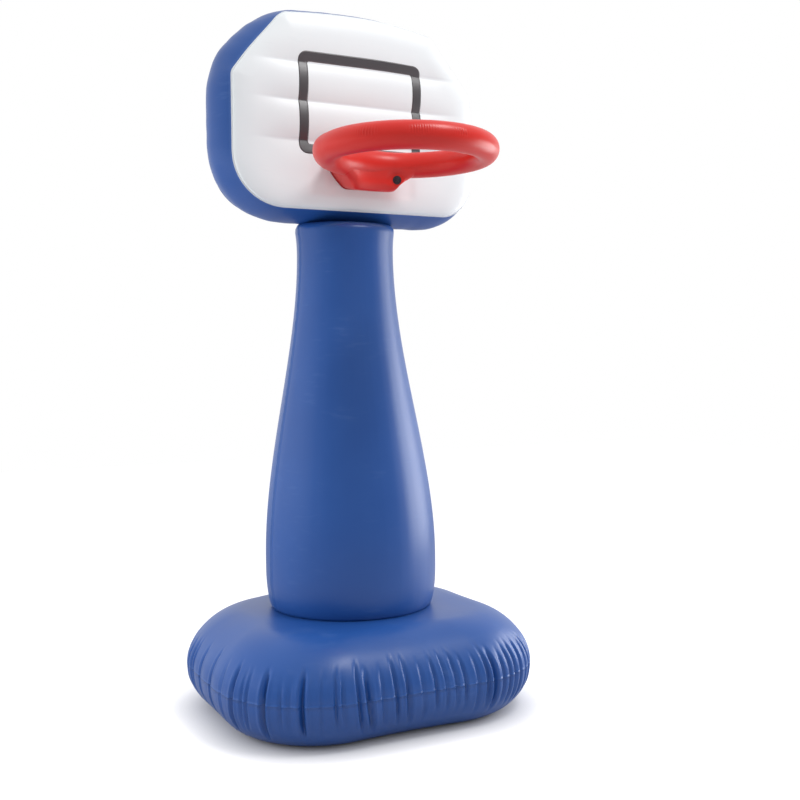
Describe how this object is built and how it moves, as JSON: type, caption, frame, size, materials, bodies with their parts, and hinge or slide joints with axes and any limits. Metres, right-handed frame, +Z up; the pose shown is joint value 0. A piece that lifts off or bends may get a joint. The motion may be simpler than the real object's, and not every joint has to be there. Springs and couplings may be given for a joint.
{
  "type": "inflatable basketball hoop",
  "caption": "Free-standing inflatable basketball hoop: water-ballasted cushion base, bottle-shaped column, channelled backboard and tubular ring.",
  "frame": {"origin": "on the floor, under the column's axis", "axes": "+Z up along the column; -Y is the front, where the white sheet and the ring face; +X to the right as seen from the front"},
  "size_m": [0.981, 1.0356, 2.088],
  "materials": {
    "blue_film": "satin",
    "white_film": "satin",
    "red_film": "gloss",
    "black_print": "gloss",
    "valve_vinyl": "satin",
    "ballast_water": "gloss"
  },
  "bodies": {
    "hoop": {"base_top_sheet": "blue_film", "base_bottom_sheet": "blue_film", "column_front_panel": "blue_film", "column_back_panel": "blue_film", "column_foot_disc": "blue_film", "board_side_band": "blue_film", "board_back_sheet": "blue_film", "board_web_lower": "blue_film", "board_web_middle": "blue_film", "board_web_upper": "blue_film", "board_front_sheet": "white_film", "target_square_print": "black_print", "ring_upper_sheet": "red_film", "ring_lower_sheet": "red_film", "ring_lug": "red_film", "base_ballast_water": "ballast_water", "ballast_valve_flange": "valve_vinyl", "base_air_valve_flange": "valve_vinyl", "column_valve_flange": "valve_vinyl", "board_valve_flange": "valve_vinyl", "ring_valve_flange": "valve_vinyl"},
    "ballast_stem": {"ballast_valve_stem": "valve_vinyl"},
    "ballast_stopper": {"ballast_valve_stopper": "valve_vinyl"},
    "base_air_stem": {"base_air_valve_stem": "valve_vinyl"},
    "base_air_stopper": {"base_air_valve_stopper": "valve_vinyl"},
    "column_stem": {"column_valve_stem": "valve_vinyl"},
    "column_stopper": {"column_valve_stopper": "valve_vinyl"},
    "board_stem": {"board_valve_stem": "valve_vinyl"},
    "board_stopper": {"board_valve_stopper": "valve_vinyl"},
    "ring_stem": {"ring_valve_stem": "valve_vinyl"},
    "ring_stopper": {"ring_valve_stopper": "valve_vinyl"}
  },
  "joints": [
    {"name": "ballast_stem_slide", "type": "slide", "parent": "hoop", "child": "ballast_stem", "axis": [0.0365, 0.0246, 0.999], "range_m": [0, 0.0153]},
    {"name": "ballast_stopper_hinge", "type": "hinge", "parent": "ballast_stem", "child": "ballast_stopper", "pos_m": [0.31833, 0.21734, 0.29745], "axis": [-0.5594, 0.8289, 0], "range_deg": [0, 150]},
    {"name": "base_air_stem_slide", "type": "slide", "parent": "hoop", "child": "base_air_stem", "axis": [-0.0219, 0.4517, 0.8919], "range_m": [0, 0.009]},
    {"name": "base_air_stopper_hinge", "type": "hinge", "parent": "base_air_stem", "child": "base_air_stopper", "pos_m": [-0.0056, 0.31866, 0.2803], "axis": [0, 0.8921, -0.4518], "range_deg": [0, 150]},
    {"name": "column_stem_slide", "type": "slide", "parent": "hoop", "child": "column_stem", "axis": [0.1303, 0.9901, 0.052], "range_m": [0, 0.009]},
    {"name": "column_stopper_hinge", "type": "hinge", "parent": "column_stem", "child": "column_stopper", "pos_m": [0.034, 0.25826, 0.51753], "axis": [-0.9914, 0.1305, 0], "range_deg": [0, 150]},
    {"name": "board_stem_slide", "type": "slide", "parent": "hoop", "child": "board_stem", "axis": [0, 1, -0.0039], "range_m": [0, 0.009]},
    {"name": "board_stopper_hinge", "type": "hinge", "parent": "board_stem", "child": "board_stopper", "pos_m": [0, 0.11792, 1.56449], "axis": [-1, 0, 0], "range_deg": [0, 150]},
    {"name": "ring_stem_slide", "type": "slide", "parent": "hoop", "child": "ring_stem", "axis": [-0.347, -0.9379, 0], "range_m": [0, 0.00765]},
    {"name": "ring_stopper_hinge", "type": "hinge", "parent": "ring_stem", "child": "ring_stopper", "pos_m": [0.06113, -0.2204, 1.56438], "axis": [0.9379, -0.347, 0], "range_deg": [0, 150]}
  ]
}
